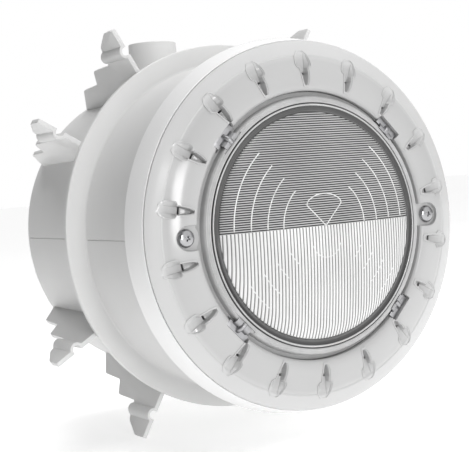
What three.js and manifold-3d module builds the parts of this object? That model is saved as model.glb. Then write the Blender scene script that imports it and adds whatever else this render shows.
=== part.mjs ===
// Underwater pool light: a PAR56 lamp in a moulded trim ring, in a niche for a concrete pool wall.
// Millimetres, +Z up. The light's axis is Y and the light faces -Y. The origin is the centre of
// the niche's flat rear face. Every axial place below is a depth: it is measured backwards from
// the trim ring's front edge, so things in front of that edge have a negative depth.

import * as THREE from 'three';
import { mergeVertices } from 'three/addons/utils/BufferGeometryUtils.js';
import Module from 'manifold-3d';

const wasm = await Module();
wasm.setup();

// ---------- driving dimensions ----------

const GAP = 0.3;                 // clearance between touching pieces
const ROUND = 48;                // facets round the large turned pieces
const TRIM_ROUND = 54;           // a multiple of the slots, so that each slot meets the same facets
const SMALL_ROUND = 16;          // facets round screws, glands and terminals

const DEPTH = 250;               // trim front edge to the niche's rear face
const WALL = 3.5;                // niche wall

const CAN_R_FRONT = 122;         // rear can, at the wall flange
const CAN_R_REAR = 119.5;
const CAN_CORNER_R = 20;
const NECK_R = 125.2;
const NECK_FRONT = 0.95;
const FLANGE_R = 141;
const FLANGE_FRONT = 104;
const FLANGE_BACK = 108.5;

const FIN_ANGLES = [30, 60, 120, 150, -150, -120, -60, -30];   // clockwise from the top
const FIN_THICK = 3.5;
const FIN_TIP_R = 177;
const NAIL_R = 158.5;            // the nail groove's distance from the light's axis
const NAIL_GROOVE_R = 3.2;
const NAIL_WEB_R = 5.3;

const SOCKET_DEPTH = 218.2;      // the conduit socket's axis, on top of the can
const SOCKET_R = 20.4;
const SOCKET_FOOT_R = 22;
const SOCKET_BORE_R = 16.1;
const SOCKET_TOP = 156.4;

const TRIM_R = 131;
const TRIM_SKIRT_R = 135.1;
const TRIM_SKIRT_DEPTH = 20;
const TRIM_THICK = 3;
const OPENING_R = 94.5;
const RIM_OUTER_R = 102;         // the solid rim round the opening
const RIM_BACK = -1.4;

const SLOTS = 18;                // water slots all round the face
const SLOT_R = 106.8;
const SLOT_WIDTH = 1.6;          // across the slot, along a radius
const SLOT_LENGTH = 5.4;

const CLIP_ANGLES = [46.5, 133.5, -133.5, -46.5];
const WINDOW_R = 98.5;
const WINDOW_WIDTH = 21;
const WINDOW_FLOOR = -3.6;
const CLIP_LEG_WIDTH = 13;
const CLIP_PLATE_WIDTH = 19;
const CLIP_THICK = 1.2;

const SCREW_R = 102.5;           // trim screws' distance from the light's axis
const SCREW_SHANK_R = 2.5;
const SCREW_HEAD_R = 6.7;
const SCREW_HOLE_R = 2.9;
const SCREW_RECESS_R = 8.3;
const SCREW_PAD_R = 10.4;
const SCREW_FLOOR = -4.6;
const SCREW_END = 28;
const BOSS_FRONT = 7;            // the niche's two screw bosses
const BOSS_BACK = 32;
const BOSS_WIDTH = 12;
const BOSS_REACH = 5;            // how far a boss reaches past its screw's axis
const RETAINER_R = 5.2;
const INSERT_R = 4.2;
const INSERT_LENGTH = 12;

const LAMP_R = 88.9;             // PAR56: 56/8 in across
const LENS_APEX = -21.5;
const GASKET_R = 91.3;
const HOUSING_R = 92.5;
const HOUSING_FLANGE_R = 96.5;
const HOUSING_FLANGE_BACK = 2.6;
const HOUSING_WALL = 3;
const HOUSING_BACK = 100;
const REFLECTOR_BACK = 74;
const TERMINAL_X = 14;

const CLIP_LOOP_R = 2.4;         // the two loops that a clip is sprung in by
const CLIP_LOOP_BORE_R = 1.4;
const CLIP_LOOP_LENGTH = 5.4;
const CLIP_LOOP_SPREAD = 3.6;

const NIPPLE_R = 8;              // cable glands, for a 10 mm cable
const NIPPLE_LENGTH = 16;
const CABLE_BORE_R = 5.4;
const GLAND_BODY_FLATS = 26;
const GLAND_NUT_FLATS = 24;
const GLAND_LOCKNUT_FLATS = 22;
const GLAND_LOCKNUT_THICK = 5;
const GLAND_COLLAR = 7;
const GLAND_SPIGOT_R = 9.5;
const GLAND_SPIGOT_END = 17;
const GLAND_NUT_END = 24;
const SEAL_SEAT = 10;            // where the seal sits in the spigot
const SEAL_BORE_R = 7.6;
const SEAL_R = 5.2;

const ENTRY_SEAT = 114.8;        // the niche gland's seat, below the conduit socket
const ENTRY_WALL = 4.9;          // the can's wall there, with room for its curve

// ---------- colours ----------

const finish = (color, roughness, metalness = 0) => ({ color, roughness, metalness });
const WHITE = finish(0xe9ebea, 0.28);
const GREY = finish(0xbcbebd, 0.45);
const GLASS = finish(0xdfe6ea, 0.05);
const MIRROR = finish(0xd8dadc, 0.08, 1);
const SILICONE = finish(0xd2d4d4, 0.55);
const RUBBER = finish(0x2b2c2e, 0.8);
const STEEL = finish(0xc4c6c8, 0.25, 1);
const BRASS = finish(0xb8923f, 0.35, 1);
const BLACK = finish(0x232425, 0.5);
const CERAMIC = finish(0xe6e2d8, 0.6);

// ---------- solids ----------

/** One closed mesh: shared corners merged, empty triangles dropped, faces pointing out. */
function closed(geometry) {
  const bare = geometry.clone();
  bare.deleteAttribute('normal');
  bare.deleteAttribute('uv');
  const merged = mergeVertices(bare, 1e-4);
  const index = [...merged.index.array];
  const at = (i) => new THREE.Vector3().fromBufferAttribute(merged.attributes.position, i);
  const kept = [];
  let volume = 0;
  for (let i = 0; i < index.length; i += 3) {
    const [a, b, c] = index.slice(i, i + 3);
    if (a === b || b === c || c === a) continue;
    kept.push([a, b, c]);
    volume += at(a).dot(at(b).cross(at(c)));
  }
  const faces = volume < 0 ? kept.map(([a, b, c]) => [a, c, b]) : kept;
  merged.setIndex(faces.flat());
  return merged;
}

function toManifold(geometry) {
  const mesh = closed(geometry);
  return new wasm.Manifold(new wasm.Mesh({
    numProp: 3,
    vertProperties: new Float32Array(mesh.attributes.position.array),
    triVerts: new Uint32Array(mesh.index.array),
  }));
}

function toGeometry(manifold) {
  const mesh = manifold.getMesh();
  const geometry = new THREE.BufferGeometry();
  geometry.setAttribute('position', new THREE.BufferAttribute(mesh.vertProperties, 3));
  geometry.setIndex([...mesh.triVerts]);
  return geometry;
}

const join = (...parts) => toGeometry(parts.map(toManifold).reduce((a, b) => a.add(b)));

function cut(base, ...tools) {
  return toGeometry(tools.map(toManifold).reduce((a, b) => a.subtract(b), toManifold(base)));
}

const overlap = (a, b) => toGeometry(toManifold(a).intersect(toManifold(b)));

/** Turn an outline of [radius, depth] pairs about the light's axis. */
function turned(outline, segments = ROUND) {
  const points = outline.map(([r, depth]) => new THREE.Vector2(r, depth));
  return closed(new THREE.LatheGeometry(points, segments));
}

/** A cylinder along the light's axis, from one depth to another. */
function rod(radius, from, to, segments = SMALL_ROUND, x = 0) {
  const cylinder = new THREE.CylinderGeometry(radius, radius, to - from, segments);
  return cylinder.translate(x, (from + to) / 2, 0);
}

/** A cylinder along X or Z, `length` long and centred on the origin. */
function bar(radius, length, axis, segments = SMALL_ROUND) {
  const cylinder = new THREE.CylinderGeometry(radius, radius, length, segments);
  return axis === 'x' ? cylinder.rotateZ(Math.PI / 2) : cylinder.rotateX(Math.PI / 2);
}

/** A box from its low corner to its high corner. */
function block([x0, y0, z0], [x1, y1, z1]) {
  const box = new THREE.BoxGeometry(x1 - x0, y1 - y0, z1 - z0);
  return box.translate((x0 + x1) / 2, (y0 + y1) / 2, (z0 + z1) / 2);
}

/** A flat outline in X and Y, made `thick` in Z and centred on Z = 0. */
function plate(shape, thick, curveSegments = 6) {
  const options = { depth: thick, bevelEnabled: false, curveSegments };
  return new THREE.ExtrudeGeometry(shape, options).translate(0, 0, -thick / 2);
}

const polygon = (points) => new THREE.Shape(points.map(([x, y]) => new THREE.Vector2(x, y)));

/** Points on a circular arc, in degrees, ends included. */
function arc(cx, cy, r, from, to, steps) {
  return Array.from({ length: steps + 1 }, (_, i) => {
    const a = THREE.MathUtils.degToRad(from + ((to - from) * i) / steps);
    return [cx + r * Math.cos(a), cy + r * Math.sin(a)];
  });
}

/** The rotation about Y that takes the +X axis to an angle, clockwise from the top in front view. */
const clockAngle = (degrees) => THREE.MathUtils.degToRad(degrees - 90);

/** A piece made on the +X side, carried round the axis. */
const atClock = (geometry, degrees) => geometry.clone().rotateY(clockAngle(degrees));

// ---------- scene graph ----------

const poolLight = new THREE.Group();
poolLight.position.y = -DEPTH;

function addPiece(name, geometry, look) {
  const mesh = new THREE.Mesh(closed(geometry), new THREE.MeshStandardMaterial(look));
  mesh.name = name;
  poolLight.add(mesh);
  return mesh;
}

// ---------- niche ----------

const canOutline = (clearance) => [
  ...arc(CAN_R_REAR - CAN_CORNER_R, DEPTH - CAN_CORNER_R, CAN_CORNER_R + clearance, 90, 0, 4),
  [CAN_R_FRONT + clearance, FLANGE_BACK],
];

/** One arm that reaches in from the neck and carries a screw insert. */
function screwBoss(side) {
  const inner = side * (SCREW_R - BOSS_REACH);
  const outer = side * (NECK_R - 1);
  return block(
    [Math.min(inner, outer), BOSS_FRONT, -BOSS_WIDTH / 2],
    [Math.max(inner, outer), BOSS_BACK, BOSS_WIDTH / 2],
  );
}

/** The hole that a boss's brass insert is moulded in, and the bore for its screw. */
function bossHoles(side) {
  const x = side * SCREW_R;
  const insertEnd = BOSS_FRONT + INSERT_LENGTH + GAP;
  return [
    rod(INSERT_R + GAP, BOSS_FRONT - 1, insertEnd, SMALL_ROUND, x),
    rod(SCREW_HOLE_R, BOSS_FRONT, BOSS_BACK + 1, SMALL_ROUND, x),
  ];
}

function nicheShell() {
  const neckInner = NECK_R - WALL;
  const canInner = CAN_R_REAR - WALL;
  const shell = turned([
    [0, DEPTH],
    ...canOutline(0),
    [FLANGE_R - 0.8, FLANGE_BACK],
    [FLANGE_R, FLANGE_BACK - 0.8],
    [FLANGE_R, FLANGE_FRONT + 1],
    [FLANGE_R - 1, FLANGE_FRONT],
    [NECK_R, FLANGE_FRONT],
    [NECK_R, NECK_FRONT],
    [neckInner, NECK_FRONT],
    [neckInner, FLANGE_FRONT],
    [CAN_R_FRONT - WALL, FLANGE_BACK + 4],
    ...arc(CAN_R_REAR - CAN_CORNER_R, DEPTH - CAN_CORNER_R, CAN_CORNER_R - WALL, 0, 90, 3),
    [0, DEPTH - WALL],
  ]);
  const entry = bar(NIPPLE_R + GAP, 40, 'z').translate(0, SOCKET_DEPTH, canInner);
  const bosses = [-1, 1].map(screwBoss);
  return cut(join(shell, ...bosses), ...[-1, 1].flatMap(bossHoles), entry);
}

/** The fin's outline in [radius, depth]: a rounded lobe, then two teeth stepping down to the can. */
function finOutline() {
  const front = FLANGE_BACK + GAP;
  return polygon([
    [CAN_R_FRONT + GAP, front],
    [FIN_TIP_R, front],
    [FIN_TIP_R, front + 8],
    [175.6, 127],
    [171.5, 136.5],
    [165, 141.5],
    [154, 144.5],
    [151.3, 150],
    [150.8, 168],
    [148.6, 178],
    [139.5, 184],
    [137, 192],
    [136.4, 208],
    [133.8, 217.5],
    [124, 224],
    [CAN_R_REAR + 0.6, 229],
  ]);
}

/** The fin seen along the light's axis: a flat plate with a half-round web round the nail groove. */
function finSection() {
  const half = FIN_THICK / 2;
  const webLimit = Math.sqrt(NAIL_WEB_R ** 2 - half ** 2);
  const webAngle = Math.atan2(half, webLimit);
  const section = new THREE.Shape();
  section.moveTo(CAN_R_REAR, -half);
  section.lineTo(NAIL_R - webLimit, -half);
  section.absarc(NAIL_R, 0, NAIL_WEB_R, Math.PI + webAngle, 2 * Math.PI - webAngle, false);
  section.lineTo(FIN_TIP_R + 1, -half);
  section.lineTo(FIN_TIP_R + 1, half);
  section.lineTo(NAIL_R + NAIL_GROOVE_R, half);
  section.absarc(NAIL_R, 0, NAIL_GROOVE_R, 0, Math.PI, true);
  section.lineTo(NAIL_R - NAIL_GROOVE_R, half);
  section.lineTo(CAN_R_REAR, half);
  return section;
}

/** An anchor fin. Above the middle its groove opens upwards, and below it downwards. */
function anchorFin(degrees) {
  const side = Math.abs(degrees) < 90 ? -Math.sign(degrees) : Math.sign(degrees);
  const outline = plate(finOutline(), 4 * NAIL_WEB_R);
  const alongAxis = plate(finSection(), 300).rotateX(-Math.PI / 2).translate(0, 180, 0);
  const fin = overlap(outline, side > 0 ? alongAxis : alongAxis.clone().scale(1, 1, -1));
  return atClock(fin, degrees);
}

function conduitSocket() {
  const tube = new THREE.LatheGeometry([
    [SOCKET_BORE_R, 100], [SOCKET_FOOT_R, 100], [SOCKET_FOOT_R, 120], [SOCKET_R, 136],
    [SOCKET_R, SOCKET_TOP - 0.8], [SOCKET_R - 0.8, SOCKET_TOP],
    [SOCKET_BORE_R + 0.8, SOCKET_TOP], [SOCKET_BORE_R, SOCKET_TOP - 0.8], [SOCKET_BORE_R, 100],
  ].map(([r, z]) => new THREE.Vector2(r, z)), 36);
  const upright = tube.rotateX(Math.PI / 2).translate(0, SOCKET_DEPTH, 0);
  const can = turned([[0, DEPTH + GAP], ...canOutline(GAP), [0, FLANGE_BACK]]);
  return cut(upright, can);
}

addPiece('niche_shell', nicheShell(), GREY);
FIN_ANGLES.forEach((degrees, i) => addPiece(`anchor_fin_${i + 1}`, anchorFin(degrees), GREY));
addPiece('conduit_socket', conduitSocket(), GREY);

// ---------- cable glands ----------

/** Turn an outline about Y for a small piece. */
const smallTurned = (outline) => turned(outline, SMALL_ROUND);

/** A hexagon bar along Y, by its distance across flats. */
function hexBar(acrossFlats, from, to) {
  return rod(acrossFlats / Math.sqrt(3), from, to, 6);
}

/** The four pieces of a gland. Their wall face is at Y = 0 and the cable leaves along +Y. */
function glandPieces(wall) {
  const sealOuter = SEAL_BORE_R - GAP;
  const sealFrom = SEAL_SEAT + GAP;
  const sealEnd = GLAND_SPIGOT_END + 2;
  const lockFrom = -wall - GAP;
  const lockEnd = lockFrom - GLAND_LOCKNUT_THICK;
  const body = cut(
    join(
      rod(NIPPLE_R, -NIPPLE_LENGTH, 2),
      hexBar(GLAND_BODY_FLATS, GAP, GLAND_COLLAR),
      rod(GLAND_SPIGOT_R, GLAND_COLLAR - 1, GLAND_SPIGOT_END),
    ),
    rod(CABLE_BORE_R, -NIPPLE_LENGTH - 1, GLAND_SPIGOT_END + 1),
    rod(SEAL_BORE_R, SEAL_SEAT, GLAND_SPIGOT_END + 1),
  );
  const seal = smallTurned([
    [SEAL_R, sealFrom],
    [sealOuter, sealFrom],
    [sealOuter, sealEnd - 1.5],
    [sealOuter - 0.7, sealEnd],
    [SEAL_R, sealEnd],
    [SEAL_R, sealFrom],
  ]);
  const nut = cut(
    hexBar(GLAND_NUT_FLATS, GLAND_COLLAR + GAP, GLAND_NUT_END),
    rod(GLAND_SPIGOT_R + GAP, GLAND_COLLAR, GLAND_SPIGOT_END + GAP),
    rod(SEAL_BORE_R, GLAND_SPIGOT_END, sealEnd + 0.5),
    rod(CABLE_BORE_R + GAP, sealEnd, GLAND_NUT_END + 1),
  );
  const locknut = cut(
    hexBar(GLAND_LOCKNUT_FLATS, lockEnd, lockFrom),
    rod(NIPPLE_R + GAP, lockEnd - 1, lockFrom + 1),
  );
  return { body, seal, nut, locknut };
}

function addGland(prefix, wall, place) {
  const looks = { body: BLACK, seal: RUBBER, nut: BLACK, locknut: BLACK };
  for (const [piece, geometry] of Object.entries(glandPieces(wall))) {
    place(addPiece(`${prefix}_gland_${piece}`, geometry, looks[piece]));
  }
}

// The niche's gland hangs from the conduit entry, into the can.
addGland('niche', ENTRY_WALL, (mesh) => {
  mesh.rotation.x = -Math.PI / 2;
  mesh.position.set(0, SOCKET_DEPTH, ENTRY_SEAT);
});

// ---------- trim ring ----------

/** The slot that lets pool water in to cool the lamp. */
function slotCutter() {
  const half = SLOT_LENGTH / 2;
  return block([SLOT_R - SLOT_WIDTH / 2, -14, -half], [SLOT_R + SLOT_WIDTH / 2, 1, half]);
}

/** The window for a retaining clip: open to the lamp, with a through hole for the clip's leg. */
function windowCutters() {
  const half = WINDOW_WIDTH / 2;
  const legHalf = CLIP_LEG_WIDTH / 2 + 1;
  return [
    block([OPENING_R - 4, -14, -half], [WINDOW_R, WINDOW_FLOOR, half]),
    block([OPENING_R - 4, -14, -legHalf], [WINDOW_R, 1, legHalf]),
  ];
}

/** The straight part of a screw's recess, which runs inwards through the rim. */
function recessMouth(side) {
  const inner = side * (OPENING_R - 4);
  const outer = side * SCREW_R;
  return block(
    [Math.min(inner, outer), -14, -SCREW_RECESS_R],
    [Math.max(inner, outer), SCREW_FLOOR, SCREW_RECESS_R],
  );
}

function trimRing() {
  const skirtInner = TRIM_SKIRT_R - TRIM_THICK;
  const ring = turned([
    [TRIM_SKIRT_R, TRIM_SKIRT_DEPTH],
    [TRIM_R, 0.4],
    [TRIM_R - 0.5, -0.2],
    [126, -2.2],
    [119.6, -4.9],
    [118.8, -4.5],
    [114, -6.6],
    [108, -8.5],
    [102, -9.6],
    [98, -9.4],
    [95.6, -8.6],
    [OPENING_R, -7.4],
    [OPENING_R, RIM_BACK],
    [RIM_OUTER_R, RIM_BACK],
    [RIM_OUTER_R, -6.2],
    [112, -4.2],
    [119, -1.7],
    [124, 0.4],
    [TRIM_R - TRIM_THICK + 0.2, 1.6],
    [skirtInner, TRIM_SKIRT_DEPTH],
    [TRIM_SKIRT_R, TRIM_SKIRT_DEPTH],
  ], TRIM_ROUND);
  const screws = [-SCREW_R, SCREW_R];
  const pads = screws.map((x) => rod(SCREW_PAD_R, SCREW_FLOOR - 1, RIM_BACK, 28, x));
  const recesses = screws.flatMap((x) => [
    rod(SCREW_RECESS_R, -14, SCREW_FLOOR, 28, x),
    recessMouth(Math.sign(x)),
    rod(SCREW_HOLE_R, -14, 1, SMALL_ROUND, x),
  ]);
  const slots = Array.from({ length: SLOTS }, (_, i) => atClock(slotCutter(), (i * 360) / SLOTS));
  const windows = CLIP_ANGLES.flatMap((degrees) => windowCutters().map((box) => atClock(box, degrees)));
  return cut(join(ring, ...pads), ...recesses, ...slots, ...windows);
}

addPiece('trim_ring', trimRing(), WHITE);

// ---------- trim screws ----------

function trimScrew() {
  const seat = SCREW_FLOOR - GAP;
  const screw = smallTurned([
    [0, SCREW_END],
    [SCREW_SHANK_R - 0.6, SCREW_END],
    [SCREW_SHANK_R, SCREW_END - 1],
    [SCREW_SHANK_R, seat],
    [SCREW_HEAD_R, seat],
    [SCREW_HEAD_R, seat - 1.2],
    [5.6, seat - 3],
    [3.6, seat - 4.1],
    [0, seat - 4.6],
  ]);
  const slot = block([-3.4, -14, -0.7], [3.4, seat - 2.6, 0.7]);
  return cut(screw, slot, slot.clone().rotateY(Math.PI / 2));
}

/** A tube about the light's axis, from one depth to another. */
function sleeve(inner, outer, from, to) {
  return smallTurned([[inner, from], [outer, from], [outer, to], [inner, to], [inner, from]]);
}

const retainer = () => sleeve(SCREW_SHANK_R + GAP, RETAINER_R, RIM_BACK + GAP, RIM_BACK + 1.6);
const insert = () => sleeve(SCREW_HOLE_R, INSERT_R, BOSS_FRONT, BOSS_FRONT + INSERT_LENGTH);

for (const [side, x] of [['left', -SCREW_R], ['right', SCREW_R]]) {
  addPiece(`trim_screw_${side}`, trimScrew().translate(x, 0, 0), STEEL);
  addPiece(`screw_retainer_${side}`, retainer().translate(x, 0, 0), RUBBER);
  addPiece(`screw_insert_${side}`, insert().translate(x, 0, 0), BRASS);
}

// ---------- lamp ----------

/** A shallow dome through an apex depth and a rim, as points from the rim to the axis. */
function dome(apex, rimR, rimDepth, steps) {
  return Array.from({ length: steps + 1 }, (_, i) => {
    const r = rimR * (1 - i / steps);
    return [r, apex + (rimDepth - apex) * (r / rimR) ** 2];
  });
}

function lampLens() {
  return turned([
    ...dome(-17.6, 78, -9.8, 2).reverse(),
    [82, -7.5],
    [LAMP_R, -7.5],
    [LAMP_R, -10],
    [85.5, -10],
    [85.5, -12.2],
    [84.3, -12.9],
    [83.3, -12],
    [80.8, -12],
    ...dome(LENS_APEX, 79.5, -13.4, 3),
  ]);
}

function lampReflector() {
  return turned([
    ...dome(REFLECTOR_BACK, 82, -4.7, 4).reverse(),
    [LAMP_R, -4.7],
    [LAMP_R, -7.2],
    [79, -7.2],
    ...dome(REFLECTOR_BACK - 3.5, 79, -6.4, 4),
  ]);
}

/** The rubber channel that wraps the rim of the lamp. */
function lampGasket() {
  return turned([
    [84, -1.4], [84, -4.4], [89.2, -4.4], [89.2, -10.3], [85.9, -10.9], [85.9, -12.5],
    [87.4, -12.8], [90.2, -10.8], [GASKET_R, -7.6], [GASKET_R, -1.4], [84, -1.4],
  ]);
}

function lampHousing() {
  const inner = HOUSING_R - HOUSING_WALL;
  return turned([
    [NIPPLE_R + GAP, HOUSING_BACK], [46, HOUSING_BACK], [72, 87], [88, 68], [HOUSING_R, 50],
    [HOUSING_R, HOUSING_FLANGE_BACK], [HOUSING_FLANGE_R, HOUSING_FLANGE_BACK],
    [HOUSING_FLANGE_R, -1.1], [84, -1.1], [84, 2.2],
    [inner, 2.2], [inner, 49.4], [85.2, 66.8], [70, 84.6], [45.4, HOUSING_BACK - HOUSING_WALL],
    [NIPPLE_R + GAP, HOUSING_BACK - HOUSING_WALL], [NIPPLE_R + GAP, HOUSING_BACK],
  ]);
}

/** A glowing coil on two legs, standing on the mount at the bowl's focus. */
function filament() {
  const legX = 7;
  const legs = new THREE.CatmullRomCurve3([
    [-legX, 63],
    [-legX, 57],
    [-legX + 0.6, 51.4],
    [-3, 50],
    [3, 50],
    [legX - 0.6, 51.4],
    [legX, 57],
    [legX, 63],
  ].map(([x, depth]) => new THREE.Vector3(x, depth, 0)));
  const section = new THREE.Shape(arc(0, 0, 1, 0, 315, 7).map(([x, y]) => new THREE.Vector2(x, y)));
  return new THREE.ExtrudeGeometry(section, { extrudePath: legs, steps: 14, bevelEnabled: false });
}

const filamentMount = () => smallTurned([[0, 67.2], [9, 67.2], [10, 66.2], [10, 63.3], [0, 63.3]]);

const terminal = () => cut(rod(5, 73.4, 82), rod(1.9, 74.5, 83));

function terminalScrew() {
  const slot = block([-5, 83.9, -0.5], [5, 86, 0.5]);
  return cut(join(rod(4, 82.3, 84.8), rod(1.6, 76, 83)), slot);
}

addPiece('lamp_lens', lampLens(), GLASS);
addPiece('lamp_reflector', lampReflector(), MIRROR);
addPiece('filament', filament(), STEEL);
addPiece('filament_mount', filamentMount(), CERAMIC);
addPiece('lamp_gasket', lampGasket(), SILICONE);
addPiece('lamp_housing', lampHousing(), GREY);

for (const [side, x] of [['left', -TERMINAL_X], ['right', TERMINAL_X]]) {
  addPiece(`lamp_terminal_${side}`, terminal().translate(x, 0, 0), BRASS);
  addPiece(`terminal_screw_${side}`, terminalScrew().translate(x, 0, 0), BRASS);
}

addGland('housing', HOUSING_WALL, (mesh) => {
  mesh.position.y = HOUSING_BACK;
});

// ---------- retaining clips ----------

/** A spring clip: ears rest on the window's ledges, and a hook holds the lamp housing's flange. */
function retainingClip() {
  const legR = WINDOW_R - GAP;
  const legInner = legR - CLIP_THICK;
  const earFront = WINDOW_FLOOR - GAP - CLIP_THICK;
  const earBack = earFront + CLIP_THICK;
  const hookFront = HOUSING_FLANGE_BACK + GAP;
  const hookBack = hookFront + CLIP_THICK;
  const hookR = 93;
  const tongueR = 92.2;
  const hook = plate(polygon([
    [tongueR, earFront],
    [legR, earFront],
    [legR, hookBack],
    [hookR, hookBack],
    [hookR, hookFront],
    [legInner, hookFront],
    [legInner, earBack],
    [tongueR, earBack],
  ]), CLIP_LEG_WIDTH);
  const half = CLIP_PLATE_WIDTH / 2;
  const ears = block([OPENING_R - 0.5, earFront, -half], [legR, earBack, half]);
  const spread = [-CLIP_LOOP_SPREAD, CLIP_LOOP_SPREAD];
  const loopR = OPENING_R + 0.7;
  const loops = spread.map((z) => bar(CLIP_LOOP_R, CLIP_LOOP_LENGTH, 'x', 10)
    .translate(loopR, earFront, z));
  const bores = spread.map((z) => bar(CLIP_LOOP_BORE_R, CLIP_LOOP_LENGTH + 3, 'x', 8)
    .translate(loopR, earFront - 0.4, z));
  const below = block([90, earBack, -7], [legInner, hookFront, 7]);
  return cut(join(hook, ears, ...loops), ...bores, below);
}

CLIP_ANGLES.forEach((degrees, i) => {
  addPiece(`retaining_clip_${i + 1}`, atClock(retainingClip(), degrees), STEEL);
});

export default poolLight;
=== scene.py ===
"""The looks of an underwater pool light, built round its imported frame.

Shapes are drawn in millimetres as the frame's CAD is: the light's axis is Y, the light faces -Y, and
every axial place is a depth behind the trim ring's front edge. `add_piece` puts them in the frame.
"""

import cmath
import math

import bmesh
import bpy
from mathutils import Matrix, Vector


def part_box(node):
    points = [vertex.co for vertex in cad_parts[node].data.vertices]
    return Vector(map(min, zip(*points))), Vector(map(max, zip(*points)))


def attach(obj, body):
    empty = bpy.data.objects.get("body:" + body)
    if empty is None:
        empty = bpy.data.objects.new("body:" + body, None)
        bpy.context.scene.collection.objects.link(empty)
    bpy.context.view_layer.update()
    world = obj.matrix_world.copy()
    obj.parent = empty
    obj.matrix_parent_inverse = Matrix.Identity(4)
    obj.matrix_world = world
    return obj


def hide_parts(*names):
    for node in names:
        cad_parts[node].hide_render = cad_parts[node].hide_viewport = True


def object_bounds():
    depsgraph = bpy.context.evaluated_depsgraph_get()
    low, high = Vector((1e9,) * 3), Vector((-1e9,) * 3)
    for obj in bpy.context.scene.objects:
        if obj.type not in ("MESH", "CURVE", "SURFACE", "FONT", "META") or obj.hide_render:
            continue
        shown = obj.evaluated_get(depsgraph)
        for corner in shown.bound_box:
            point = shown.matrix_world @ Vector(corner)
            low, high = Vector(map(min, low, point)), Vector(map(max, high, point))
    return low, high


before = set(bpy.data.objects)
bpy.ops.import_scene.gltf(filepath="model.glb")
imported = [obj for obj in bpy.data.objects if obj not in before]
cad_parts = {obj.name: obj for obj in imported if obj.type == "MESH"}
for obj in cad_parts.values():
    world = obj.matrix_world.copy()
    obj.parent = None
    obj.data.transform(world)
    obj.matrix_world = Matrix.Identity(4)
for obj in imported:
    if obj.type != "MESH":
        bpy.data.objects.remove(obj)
CAD_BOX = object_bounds()

# ---------- driving dimensions, in millimetres ----------

MM = 0.001
GAP = 0.3
ROUND = 240                      # facets round the large turned pieces
TRIM_ROUND = 288
SMALL_ROUND = 40

DEPTH = 250
WALL = 3.5
CAN_R_FRONT = 122
CAN_R_REAR = 119.5
CAN_CORNER_R = 20
NECK_R = 125.2
NECK_FRONT = 0.95
FLANGE_R = 141
FLANGE_FRONT = 104
FLANGE_BACK = 108.5

FIN_ANGLES = (30, 60, 120, 150, -150, -120, -60, -30)   # clockwise from the top, in front view
FIN_THICK = 3.5
FIN_TIP_R = 177
NAIL_R = 158.5
NAIL_GROOVE_R = 3.2
NAIL_WEB_R = 5.3

SOCKET_DEPTH = 218.2
SOCKET_R = 20.4
SOCKET_FOOT_R = 22
SOCKET_BORE_R = 16.1
SOCKET_TOP = 156.4

TRIM_R = 131
SKIRT_R = 135.1
SKIRT_DEPTH = 20
TRIM_THICK = 3
OPENING_R = 94.5
RIM_BACK = -1.4
RIM_OUTER_R = 102

SLOTS = 18
SLOT_R = 106.8
SLOT_WIDTH = 1.6
SLOT_HALF = 2.7
TONGUE_TIP_R = 98.2              # the narrow half of each teardrop pocket
TONGUE_DEEP = (5.6, 6.8)         # at its tip and at the slot
BOWL_R = (110.6, 122.8)          # the wide half's near and far end
BOWL_HALF = 5.2
BOWL_SHOULDER = 2.6              # the length over which it widens
BOWL_NOSE = 9                    # and the length over which it rounds off
CUP_WALL = 1.5                   # round each pocket, behind the ring

CLIP_ANGLES = (46.5, 133.5, -133.5, -46.5)
WINDOW_R = 98.5
WINDOW_WIDTH = 21
WINDOW_FLOOR = -3.6
CLIP_LEG_WIDTH = 13
CLIP_PLATE_WIDTH = 19
CLIP_THICK = 1.2

SCREW_R = 102.5
SCREW_HEAD_R = 6.2
SCREW_SHANK_R = 2.5
SCREW_HOLE_R = 2.9
SCREW_RECESS_R = 8.3
SCREW_PAD_R = 10.4
SCREW_FLOOR = -4.6
SCREW_END = 28
BOSS_FRONT = 7
BOSS_BACK = 32
INSERT_R = 4.2
INSERT_LENGTH = 12

LAMP_R = 88.9
LENS_R = 79.5
LENS_APEX = -21.5                # over the crests of the pressed pattern
LENS_EDGE = -13.4
LENS_RELIEF = 0.65
LENS_ROLL_R = 68                 # from here the dome rolls over towards its rim
LENS_ROLL = 2.4
HOUSING_R = 92.5
HOUSING_FLANGE_R = 96.5
HOUSING_WALL = 3
HOUSING_BACK = 100
REFLECTOR_BACK = 74
TERMINAL_ASIDE = 14

NIPPLE_R = 8
CABLE_BORE_R = 5.4

SIDES = (("left", -1), ("right", 1))
IN_FRONT = -14                   # where the cutters start, in front of the trim ring
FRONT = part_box("trim_ring")[1].y - SKIRT_DEPTH * MM

# ---------- outlines ----------


def arc(centre, radius, start, end, steps):
    """Points on a circular arc, in degrees, ends included."""
    turns = [math.radians(start + (end - start) * i / steps) for i in range(steps + 1)]
    return [(centre[0] + radius * math.cos(a), centre[1] + radius * math.sin(a)) for a in turns]


def rounded(points, steps=5, loop=True):
    """Round every corner that names a radius: a point is (across, along) or (across, along, radius)."""
    result = []
    for i, point in enumerate(points):
        inner = loop or 0 < i < len(points) - 1
        if len(point) < 3 or not inner:
            result.append(tuple(point[:2]))
            continue
        here = complex(*point[:2])
        before = complex(*points[i - 1][:2]) - here
        after = complex(*points[(i + 1) % len(points)][:2]) - here
        before /= abs(before)
        after /= abs(after)
        half = abs(cmath.phase(after / before)) / 2
        bisector = before + after
        centre = here + bisector / abs(bisector) * point[2] / math.sin(half)
        reach = point[2] / math.tan(half)
        start = here + before * reach - centre
        turn = cmath.phase((here + after * reach - centre) / start)
        for k in range(steps + 1):
            corner = centre + start * cmath.exp(1j * turn * k / steps)
            result.append((corner.real, corner.imag))
    return result


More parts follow.
